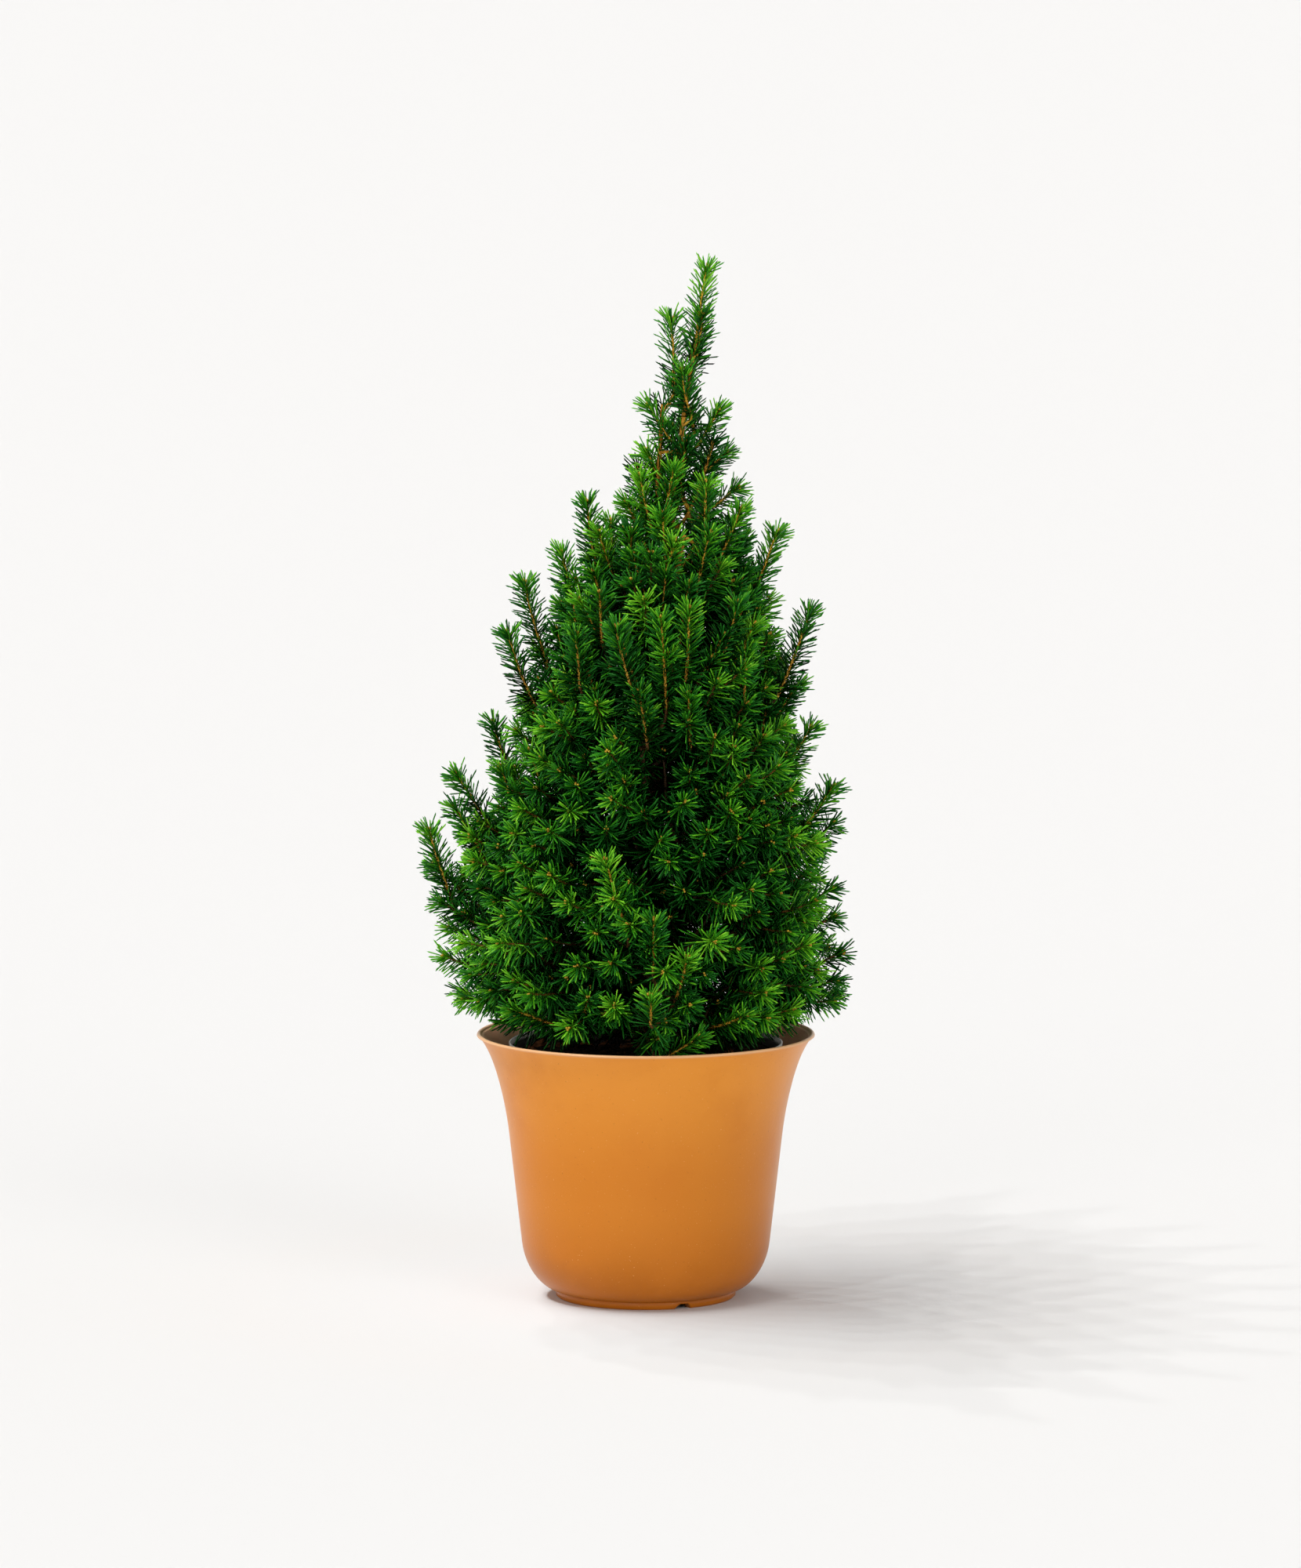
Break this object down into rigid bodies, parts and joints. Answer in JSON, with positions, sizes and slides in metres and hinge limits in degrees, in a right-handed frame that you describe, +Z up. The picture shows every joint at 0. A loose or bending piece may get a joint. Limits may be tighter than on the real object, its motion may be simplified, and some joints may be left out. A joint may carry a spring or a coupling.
{
  "type": "potted alberta spruce",
  "caption": "Small conical dwarf spruce growing in a round flared pot, with dense needled boughs around a short trunk and a slim pointed top.",
  "frame": {"origin": "centre of the plant's box on the ground, on the pot's own axis within 3 mm", "axes": "+Z up along the plant's height, +X to the pictured plant's right, -Y towards the viewer"},
  "size_m": [0.2055, 0.184, 0.513],
  "materials": {
    "pot": "satin terracotta-orange plastic with fine dark and pale specks",
    "liner": "thin pale nursery pot, its rim just above the soil",
    "soil": "dark moist peat mix with bark chips",
    "bark": "orange-brown young conifer bark",
    "foliage": "short green needles on ochre twigs, fresher at the tips"
  },
  "bodies": {
    "root": {"bough_01": "bark", "bough_02": "bark", "bough_03": "bark", "bough_04": "bark", "bough_05": "bark", "bough_06": "bark", "bough_07": "bark", "bough_08": "bark", "bough_09": "bark", "bough_10": "bark", "bough_11": "bark", "bough_12": "bark", "bough_13": "bark", "bough_14": "bark", "bough_15": "bark", "bough_16": "bark", "bough_17": "bark", "bough_18": "bark", "bough_19": "bark", "bough_20": "bark", "bough_21": "bark", "bough_22": "bark", "bough_23": "bark", "bough_24": "bark", "bough_25": "bark", "bough_26": "bark", "bough_27": "bark", "foliage_01": "foliage", "foliage_02": "foliage", "foliage_03": "foliage", "foliage_04": "foliage", "foliage_05": "foliage", "foliage_06": "foliage", "foliage_07": "foliage", "foliage_08": "foliage", "foliage_09": "foliage", "foliage_10": "foliage", "foliage_11": "foliage", "foliage_12": "foliage", "foliage_13": "foliage", "foliage_14": "foliage", "foliage_15": "foliage", "foliage_16": "foliage", "foliage_17": "foliage", "foliage_18": "foliage", "foliage_19": "foliage", "foliage_20": "foliage", "foliage_21": "foliage", "foliage_22": "foliage", "foliage_23": "foliage", "foliage_24": "foliage", "foliage_25": "foliage", "foliage_26": "foliage", "foliage_27": "foliage", "foliage_28": "foliage", "liner": "liner", "pot": "pot", "soil": "soil", "trunk": "bark"}
  },
  "joints": []
}
